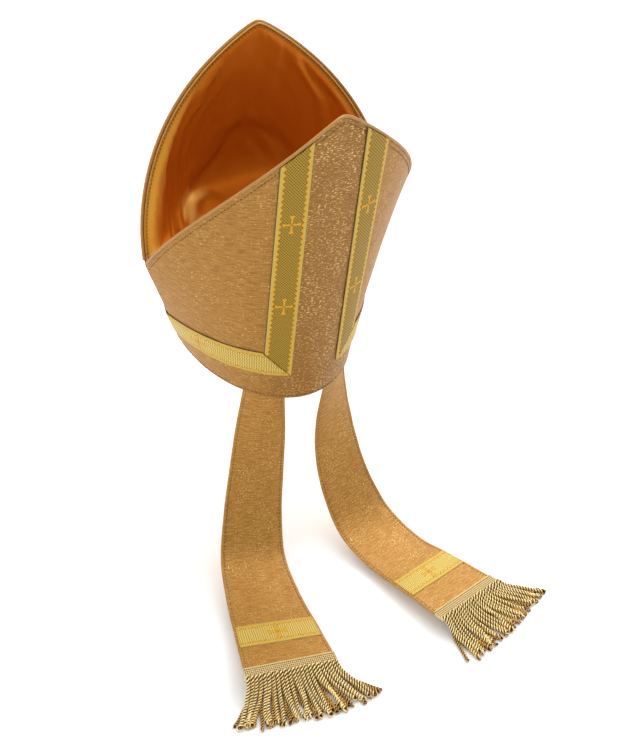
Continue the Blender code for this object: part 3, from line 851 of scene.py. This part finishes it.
def lining_folds(upright, arc, down, from_edge, from_bump):
    """The satin's whole relief: the two halves' folds, the head's round bump and faint ripples."""
    in_front = step_up(0.5 + (2 * down - down[-1:]) / LINING_BLEND)
    relief = lining_relief(upright, arc, from_edge, 3) * in_front
    relief += lining_relief(upright, -arc, from_edge, 13) * (1 - in_front)
    relief += 6.0 * MM * np.exp(-(from_bump / (17 * MM)) ** 4)
    from_middle = np.hypot(upright[..., 0] - 10 * MM, upright[..., 1] + 10 * MM)
    ripple = np.sin(from_middle * 2 * math.pi / (15 * MM))
    relief += 0.12 * MM * ripple * step_up((from_edge - 80 * MM) / (25 * MM))
    relief *= 1 - bump_at(from_edge, 0.0, 4.5 * MM)
    return np.maximum(relief, 0.0)


def lining_stitches(middle, skin, down):
    """Thread ends along the lining's two sewn edges."""
    parts = []
    for rows, run in ((slice(None), down), (slice(None, None, -1), down[-1:] - down)):
        columns = [(run[rows, c], middle[rows, c], skin[rows, c]) for c in range(run.shape[1])]
        line = np.concatenate([points_at([STITCH_IN_LINING], far, place) for far, place, _ in columns])
        out = np.concatenate([points_at([STITCH_IN_LINING], far, facing) for far, _, facing in columns])
        parts += stitches(line + out * LINING_HALF_CLOTH, out)
    placed(joined("lining_stitches", parts, [DARK_THREAD]), "satin_lining")


def lining():
    """Loose satin from edge to edge, over the crown of the head."""
    us, upright = lining_grid()
    steps = np.linalg.norm(np.diff(upright, axis=0), axis=2)
    down = np.concatenate([np.zeros((1, upright.shape[1])), np.cumsum(steps, axis=0)])
    from_edge = np.minimum(down, down[-1:] - down)
    from_bump = np.hypot(upright[..., 0] - LINING_BUMP[0], upright[..., 1] - LINING_BUMP[1])
    arc = us * half_arc(upright[..., 2])
    grid = upright @ LEANED.T
    normal = grid_normals(grid)
    normal *= np.sign(np.sum(normal * (VALLEY_MIDDLE - grid), axis=2, keepdims=True))
    middle = grid + normal * lining_folds(upright, arc, down, from_edge, from_bump)[..., None]
    skin = grid_normals(middle)
    skin *= np.sign(np.sum(skin * normal, axis=2, keepdims=True))
    too_high = from_edge < 80 * MM
    crown_of_head = middle[np.unravel_index(np.argmin(from_bump + too_high), from_bump.shape)]
    finish = lining_satin("orange_satin", crown_of_head, LEFT_AND_UP)
    half_cloth = skin * LINING_HALF_CLOTH
    uv = np.stack([arc, from_edge], axis=-1)
    piece = closed_sheet("lining_satin", middle + half_cloth, middle - half_cloth, uv,
                         [finish, BACKING, finish])
    placed(piece, "satin_lining", "crown_lining")
    lining_stitches(middle, skin, down)


# ---- galloons

BAND_PROFILE = np.array([-1, -0.985, -0.95, -0.88, -0.78, -0.6, -0.4, -0.2, 0,
                         0.2, 0.4, 0.6, 0.78, 0.88, 0.95, 0.985, 1])


def band_depths(across, along):
    """Depths of a band's two faces: it stands a little proud, with rounded and corded edges."""
    edge = np.abs(across)
    rounded = np.sqrt(np.clip(1 - ((edge - 0.94) / 0.06).clip(0, 1) ** 2, 0, 1))
    top = 0.25 * MM + 0.75 * MM * rounded + 0.14 * MM * np.exp(-((edge - 0.93) / 0.035) ** 2)
    top += 0.10 * MM * waves(along, across * 20 * MM, 9)
    return -top, np.full_like(top, -0.12 * MM)


def dark_edge_line(line, out):
    """A thin dark tube laid along one edge of a band."""
    return tube_arrays(resampled(line + out * 0.25 * MM, 1.5 * MM), 0.28 * MM, 6)


def band(name, half, u, z, across, along, dark_column, cross_phase, ribbed):
    """A galloon from grids of places on the panels, with a thin dark line along one edge."""
    top, under = band_depths(across, along)
    behind = (half == BACK)[..., None]
    outer = np.where(behind, wall(BACK, u, z, top), wall(FRONT, u, z, top))
    inner = np.where(behind, wall(BACK, u, z, under), wall(FRONT, u, z, under))
    uv = np.stack([across * GALLOON_WIDTH / 2, along], axis=-1)
    finish = woven_band(f"{name}_weave", CROSS_SPACING, cross_phase, ribbed)
    piece = closed_sheet(f"{name}_band", outer, inner, uv, [finish, BACKING, finish])
    placed(piece, "galloon", name)
    edge = inner[:, dark_column]
    away = unit(edge - inner[:, dark_column + (1 if dark_column == 0 else -1)])
    out = unit(outer[:, dark_column] - edge)
    sewn = [dark_edge_line(edge + away * 0.2 * MM, out)]
    placed(joined(f"{name}_thread", sewn, [DARK_THREAD]), "galloon")


def galloon_start(half, side):
    """From the panel's centre line to the near edge of its upright galloon."""
    return GALLOON_FROM_CENTRE + (side * GALLOON_ASIDE if half == BACK else 0.0)


def upright_galloon(half, place, side, word, rows=110):
    """A band beside a panel's middle, from its mitred foot to the pointed edge."""
    across = np.broadcast_to(BAND_PROFILE, (rows + 1, len(BAND_PROFILE)))
    arc = galloon_start(half, side) + GALLOON_WIDTH * (across + 1) / 2
    foot = GALLOON_BOTTOM + GALLOON_WIDTH * (across + 1) / 2 + 0.15 * MM
    head = edge_height_at_arc(arc) - 0.5 * MM
    z = foot + (head - foot) * np.linspace(0, 1, rows + 1)[:, None]
    u = side * arc / half_arc(z)
    dark = -1 if side * half > 0 else 0
    band(f"{place}_galloon_{word}", np.full(u.shape, half), u, z, across * side, z, dark,
         -CROSS_FROM_RIM, False)


def side_galloon(side, word, rows=90):
    """A band round one side, from the back galloon's foot over the seam to the front one's."""
    across = np.broadcast_to(BAND_PROFILE, (2 * rows + 1, len(BAND_PROFILE)))
    share = (across + 1) / 2
    t = 1 - np.abs(np.linspace(-1, 1, 2 * rows + 1))[:, None]
    near = np.full(t.shape, galloon_start(BACK, side))
    near[rows + 1:] = galloon_start(FRONT, side)
    start = near + GALLOON_WIDTH * share
    arc = start + (RIM_HALF_ARC - start) * t
    fall = (arc - near) / (RIM_HALF_ARC - near)
    z = GALLOON_BOTTOM + (SIDE_GALLOON_AT_SEAM - GALLOON_BOTTOM) * fall
    z = z + 4 * SIDE_GALLOON_BOW * fall * (1 - fall) + GALLOON_WIDTH * share
    u = side * arc / RIM_HALF_ARC
    half = np.full(u.shape, BACK)
    half[rows + 1:] = FRONT
    along = np.where(half == BACK, arc, 2 * RIM_HALF_ARC - arc)
    band(f"side_galloon_{word}", half, u, z, across, along, -1, -CROSS_ON_SIDE, True)


# ---- lappets

def lappet_rows(side, across):
    """Lines across a lappet: two inside the rim, then one at each station."""
    low, high = LAPPET_TOP_ARC[side]
    depth = WALL + LAPPET_CLEARANCE + LAPPET_THICKNESS / 2
    rows = []
    for z in (LAPPET_TUCK, 0.0):
        arcs = low + (high - low) * (across + 1) / 2
        rows.append(wall(BACK, arcs / half_arc(z), z, depth))
    for number, (x, y, z, turn, tilt) in enumerate(LAPPET_STATIONS[side], start=1):
        turn, tilt = math.radians(turn), math.radians(tilt)
        level = math.cos(tilt)
        sideways = np.array([math.cos(turn) * level, math.sin(turn) * level, math.sin(tilt)])
        outward = unit(np.array([-sideways[1], sideways[0], 0.0]))
        flare = (LAPPET_END_WIDTH - LAPPET_TOP_WIDTH) * number / len(LAPPET_STATIONS[side])
        width = LAPPET_TOP_WIDTH + flare
        bow = LAPPET_BOWS[number - 1] if number <= len(LAPPET_BOWS) else 0.0
        rows.append(np.array([x, y, z]) + sideways * (across * width / 2)[:, None]
                    + outward * (bow * (1 - across ** 2))[:, None])
    return np.array(rows)


def smoothed(rows, distances, knots):
    """A smooth surface through rows that stand at the knots, by cubic pieces."""
    slopes = np.empty_like(rows)
    slopes[1:-1] = (rows[2:] - rows[:-2]) / (knots[2:] - knots[:-2])[:, None, None]
    slopes[0] = (rows[1] - rows[0]) / (knots[1] - knots[0])
    slopes[-1] = (rows[-1] - rows[-2]) / (knots[-1] - knots[-2])
    i = np.clip(np.searchsorted(knots, distances) - 1, 0, len(knots) - 2)
    span = (knots[i + 1] - knots[i])[:, None, None]
    t = ((distances - knots[i]) / (knots[i + 1] - knots[i]))[:, None, None]
    return ((2 * t ** 3 - 3 * t ** 2 + 1) * rows[i] + (t ** 3 - 2 * t ** 2 + t) * span * slopes[i]
            + (3 * t ** 2 - 2 * t ** 3) * rows[i + 1] + (t ** 3 - t ** 2) * span * slopes[i + 1])


def lappet_knots(side):
    """Distances along a lappet's middle of its known lines."""
    middle = lappet_rows(side, np.linspace(-1, 1, 5)).mean(axis=1)
    return lengths_along(middle)


def lappet_surface(side, across, distances):
    """Points of a lappet's middle surface; across runs from -1 to 1."""
    return smoothed(lappet_rows(side, across), np.asarray(distances, float), lappet_knots(side))


def lappet_lift(word, side_place, along):
    """The lappet's gentle waves, out of its middle surface."""
    return LAPPET_WAVE * waves(side_place, along, LAPPET_WAVE_SEED[word])


def below_tuck(along):
    """0 at the tucked top, where the lappet is held flat, to 1 a little below it."""
    return np.clip((along - LAPPET_TUCK) / (20 * MM), 0, 1)


def lappet(word):
    """A flared ribbon of lame, hemmed and stitched along its sides."""
    knots = lappet_knots(word)
    across = np.array([-1, -0.99, -0.97, -0.94, -0.91, -0.88, -0.84, -0.8, -0.7, -0.55, -0.35, -0.15])
    across = np.concatenate([across, [0.0], -across[::-1]])
    distances = np.linspace(0.0, knots[-1], 221)
    grid = lappet_surface(word, across, distances)
    width = np.linalg.norm(grid[:, -1] - grid[:, 0], axis=1)[:, None]
    inset = (1 - np.abs(across))[None] * width / 2
    normal = grid_normals(grid)
    along = np.broadcast_to(distances[:, None], inset.shape)
    side_place = across[None] * width / 2
    thick = LAPPET_HALF_CLOTH - 0.28 * MM * bump_at(inset, STITCH_IN_LAPPET, 0.7 * MM)
    thick = thick * np.sqrt(np.clip(inset / (0.9 * MM), 0.05, 1.0))
    thick += 0.25 * MM * bump_at(inset, 1.4 * MM, 1.0 * MM)
    lift = lappet_lift(word, side_place, along)
    lift += 0.10 * MM * np.sin(along * 2 * math.pi / (8 * MM)) * bump_at(inset, 4.5 * MM, 3 * MM)
    lift *= below_tuck(along)
    outer = grid + normal * (lift + thick)[..., None]
    inner = grid + normal * (lift - np.minimum(thick, LAPPET_HALF_CLOTH))[..., None]
    uv = np.stack([side_place, along], axis=-1)
    piece = closed_sheet(f"lappet_{word}_cloth", outer, inner, uv, [LAPPET_LAME, BACKING, EDGE])
    placed(piece, "lappet_cloth", f"lappet_{word}")
    length = float(knots[-1])
    lappet_stitches(word, length, distances, width[:, 0])


def lappet_stitches(word, length, distances, widths):
    """Dark thread along both sides of a lappet."""
    rows = np.linspace(LAPPET_TUCK + 1 * MM, length - 1 * MM, 400)
    width = np.interp(rows, distances, widths)
    place = np.array([lappet_surface(word, np.array([-1.0, 0.0, 1.0]), [d])[0] for d in rows])
    out = unit(np.cross(place[:, 2] - place[:, 0], np.gradient(place[:, 1], axis=0)))
    share = 1 - STITCH_IN_LAPPET / (width / 2)
    parts = []
    for sign in (-1, 1):
        line = place[:, 1] + (place[:, 1 + sign] - place[:, 1]) * share[:, None]
        lift = lappet_lift(word, sign * share * width / 2, rows) * below_tuck(rows)
        parts += stitches(line + out * (lift + 0.55 * MM)[:, None], out, radius=0.45 * MM)
    placed(joined(f"lappet_{word}_stitches", parts, [DARK_THREAD]), "lappet_cloth")


def lappet_galloon(word):
    """A band across a lappet, a little above its end."""
    knots = lappet_knots(word)
    end = knots[-1] - LAPPET_GALLOON_FROM_END[word]
    middle = end - GALLOON_WIDTH / 2
    distances = middle + BAND_PROFILE * GALLOON_WIDTH / 2
    across = np.linspace(-1, 1, 61)
    width = np.linalg.norm(np.diff(lappet_surface(word, np.array([-1.0, 1.0]), [middle])[0], axis=0))
    reach = 1 - 2 * LAPPET_GALLOON_INSET / width
    grid = lappet_surface(word, across * reach, distances)
    normal = grid_normals(grid)
    place = np.broadcast_to(across * reach * width / 2, grid.shape[:2])
    run = np.broadcast_to(distances[:, None], grid.shape[:2])
    lift = lappet_lift(word, place, run)
    profile = np.broadcast_to(BAND_PROFILE[:, None], grid.shape[:2])
    top, _ = band_depths(profile, place)
    outer = grid + normal * (lift + 0.85 * MM - top)[..., None]
    inner = grid + normal * (lift + 0.95 * MM)[..., None]
    uv = np.stack([profile * GALLOON_WIDTH / 2, place], axis=-1)
    finish = woven_band(f"lappet_galloon_{word}_weave", ONE_CROSS, 0.0, True)
    piece = closed_sheet(f"lappet_galloon_{word}_band", outer, inner, uv, [finish, BACKING, finish])
    placed(piece, "galloon", f"lappet_galloon_{word}")


# ---- fringes

def lappet_end(word):
    """Ends of the lappet's last line, and the level direction in which it leaves."""
    knots = lappet_knots(word)
    rows = lappet_surface(word, np.array([-1.0, 0.0, 1.0]), [knots[-2], knots[-1]])
    forward = rows[1, 1] - rows[0, 1]
    forward[2] = 0.0
    return rows[1, 0], rows[1, 2], unit(forward)


def heading_plate(low, high, forward):
    """The woven band itself: laid over the lappet's end and closed round the cords' tops."""
    across = np.linspace(-1, 1, 85)
    reach = np.array([-1.5, -1.2, -0.6, 0.5, 2, 4, 6, 8, 9.4, 10.1, 10.5]) * MM
    line = low + (high - low) * ((across + 1) / 2)[:, None]
    grid = line[None] + forward * reach[:, None, None]
    normal = grid_normals(grid)
    normal *= np.sign(normal[..., 2:3])
    rounded = np.sqrt(np.clip(1 - (np.abs(reach - 4.5 * MM) / (6.1 * MM)) ** 4, 0.02, 1))[:, None]
    over = 1.25 * MM * rounded * np.ones_like(across) + 0.5 * MM * (reach < 0)[:, None]
    under = np.where((reach < 0.3 * MM)[:, None], -0.9 * MM, 1.1 * MM * rounded) * np.ones_like(across)
    uv = np.stack([np.broadcast_to(across * np.linalg.norm(high - low) / 2, grid.shape[:2]),
                   np.broadcast_to(reach[:, None], grid.shape[:2])], axis=-1)
    outer = grid + normal * over[..., None]
    points, faces, flat, _ = sheet_arrays(outer, grid - normal * under[..., None], uv)
    return points, faces, flat, np.zeros(len(faces))


def picots(low, high, forward):
    """Small loops of cord along the heading's upper edge."""
    width = np.linalg.norm(high - low)
    sideways = (high - low) / width
    up = np.cross(sideways, forward)
    up *= np.sign(up[2])
    turn = np.linspace(0, math.pi, 9)[:, None]
    count = int(width / PICOT_SPACING)
    parts = []
    for i in range(count):
        centre = low + (high - low) * (i + 0.5) / count - forward * 1.0 * MM + up * 1.3 * MM
        loop = centre + sideways * np.cos(turn) * 0.7 * MM - forward * np.sin(turn) * 1.4 * MM
        parts.append(tube_arrays(loop, 0.42 * MM, 6, 1))
    return parts


def heading(word):
    """Woven band along the lappet's end, with small picots over the cloth."""
    ends = lappet_end(word)
    piece = joined(f"fringe_heading_{word}_braid", [heading_plate(*ends)] + picots(*ends),
                   [BRAID, CREAM_PLY], math.radians(50))
    placed(piece, "fringe_braid", f"fringe_heading_{word}")


def twisted(path, radius, phase, slot):
    """Two plies round a path, parting into a small loop at the far end."""
    path = resampled(path, TWIST_PITCH / 10)
    tangent = unit(np.gradient(path, axis=0))
    side = unit(np.cross(tangent, (0.0, 0.0, 1.0)))
    other = np.cross(tangent, side)
    length = float(np.sum(np.linalg.norm(np.diff(path, axis=0), axis=1)))
    run = np.linspace(0.0, length, len(path))
    turn = phase + run * 2 * math.pi / TWIST_PITCH
    helix = side * np.cos(turn)[:, None] + other * np.sin(turn)[:, None]
    swell = radius * (0.56 + 0.36 * bump_at(length - run, 0.0, 1.7 * MM))[:, None]
    thick = radius * 0.48
    first = tube_arrays(path + helix * swell, thick, CORD_SIDES, slot, helix)
    second = tube_arrays(path - helix * swell, thick, CORD_SIDES, slot, -helix)
    across = helix[-1] * swell[-1]
    arc = np.linspace(0, math.pi, 8)[:, None]
    reach = 1.2 * np.linalg.norm(across)
    loop = path[-1] + across * np.cos(arc) + tangent[-1] * np.sin(arc) * reach
    outward = loop - path[-1] + tangent[-1] * 0.01 * MM
    return [first, second, tube_arrays(loop, thick, CORD_SIDES, slot, outward)]


def fringe_path(start, leave, final, curl, length, layer):
    """A cord's line: over the heading's edge, down to the ground, turning to its place in the fan."""
    share = np.linspace(0, 1, 40)
    wander = 0.5 * curl * np.sin(7.0 * share + curl) * share
    angle = np.radians(leave + (final - leave) * step_up(share / 0.30) + curl * share ** 2 + wander)
    rest = GROUND + CORD_RADIUS + layer * (1 - 0.75 * step_up((share - 0.45) / 0.5))
    level = start[2] + 1.6 * MM * bump_at(share, 0.08, 0.09)
    level = level + (rest - level) * step_up(share / 0.5)
    move = np.stack([np.sin(angle), np.cos(angle)], axis=1) * length / (len(share) - 1)
    flat = np.concatenate([[[0.0, 0.0]], np.cumsum(move[:-1], axis=0)])
    level = np.maximum(level, GROUND + CORD_RADIUS)
    return np.column_stack([start[0] + flat[:, 0], start[1] + flat[:, 1], level])


def fringe(word):
    """Twisted cords in two layers that leave the heading, reach the ground and fan out."""
    random = np.random.default_rng(FRINGE_SEED[word])
    low, high, forward = lappet_end(word)
    leave = math.degrees(math.atan2(forward[0], forward[1]))
    parts = []
    for i in range(CORDS):
        upper = int(i % 3 == 0)
        across = -OUTERMOST_CORD + 2 * OUTERMOST_CORD * i / (CORDS - 1)
        start = low + (high - low) * (across + 1) / 2 + forward * (HEADING_LENGTH - 3.0 * MM)
        start[2] += (1.5 if upper else -0.4) * MM
        final = np.interp(across, (-1, 0, 1), FRINGE_FAN[word]) + random.normal(0, 4.0 if upper else 8.0)
        curl = float(np.clip(random.normal(0, 16), -26, 26)) * (1 - 0.5 * abs(across))
        length = np.interp(across, (-1, 0, 1), FRINGE_LENGTH[word]) * random.uniform(0.91, 1.04)
        height = upper * 2.7 * MM * random.uniform(0.7, 1.1)
        path = fringe_path(start, leave, final, curl, length, height)
        radius = CORD_RADIUS * random.uniform(0.90, 1.05) * (1.0 if upper else 0.86)
        parts += twisted(path, radius, random.uniform(0, 6.28), 1 - upper)
    placed(joined(f"fringe_{word}_cords", parts, [CREAM_PLY, SHADED_PLY]), "fringe_cord", f"fringe_{word}")


# ---- camera, floor and lights

def camera():
    """The photo's own view."""
    data = bpy.data.cameras.new("camera")
    data.lens = CAMERA_LENS
    data.sensor_width = 36.0
    data.clip_start = 0.05
    data.clip_end = 50.0
    made = bpy.data.objects.new("camera", data)
    level = math.cos(CAMERA_ELEVATION)
    back = Vector((math.sin(CAMERA_AZIMUTH) * level, -math.cos(CAMERA_AZIMUTH) * level,
                   math.sin(CAMERA_ELEVATION)))
    made.location = CAMERA_PLACE
    made.rotation_mode = "QUATERNION"
    made.rotation_quaternion = (-back).to_track_quat("-Z", "Y")
    bpy.context.scene.collection.objects.link(made)
    bpy.context.scene.camera = made


def floor():
    """What the fringes lie on, so near to white that it melts into the background."""
    data = bpy.data.meshes.new("floor")
    z = GROUND - 0.3 * MM
    corners = [(x * FLOOR_REACH, y * FLOOR_REACH, z) for x, y in ((-1, -1), (1, -1), (1, 1), (-1, 1))]
    data.from_pydata(corners, [], [(0, 1, 2, 3)])
    s = Shader("pale_floor", Roughness=0.9, Specular_IOR_Level=0.1)
    s.set(Base_Color=(0.93, 0.93, 0.925, 1.0))
    data.materials.append(s.material)
    made = bpy.data.objects.new("floor", data)
    bpy.context.scene.collection.objects.link(made)


def softbox(name, azimuth, elevation, strength, spread):
    """A broad, even light from one side; azimuth turns from +Y toward +X, in degrees."""
    data = bpy.data.lights.new(name, "SUN")
    data.energy = strength
    data.angle = math.radians(spread)
    made = bpy.data.objects.new(name, data)
    azimuth, elevation = math.radians(azimuth), math.radians(elevation)
    level = math.cos(elevation)
    towards = Vector((math.sin(azimuth) * level, math.cos(azimuth) * level, math.sin(elevation)))
    made.rotation_mode = "QUATERNION"
    made.rotation_quaternion = towards.to_track_quat("Z", "Y")
    made.location = towards * 2.0
    bpy.context.scene.collection.objects.link(made)


def lights():
    """An even pale surround and four broad lights, the strongest from high at the wearer's right."""
    world = bpy.data.worlds.new("studio")
    world.use_nodes = True
    background = world.node_tree.nodes["Background"]
    background.inputs["Color"].default_value = (1.0, 1.0, 1.0, 1.0)
    background.inputs["Strength"].default_value = SURROUND
    bpy.context.scene.world = world
    for light in LIGHTS:
        softbox(*light)
    bpy.context.scene.view_settings.view_transform = "Standard"


camera()
floor()
lights()
for half, place in HALVES:
    panel(half, place)
    piping(half, place)
    panel_stitches(half, place)
    for side, word in SIDES:
        upright_galloon(half, place, side, word)
for side, word in SIDES:
    side_galloon(side, word)
lining()
for word in ("left", "right"):
    lappet(word)
    lappet_galloon(word)
    heading(word)
    fringe(word)
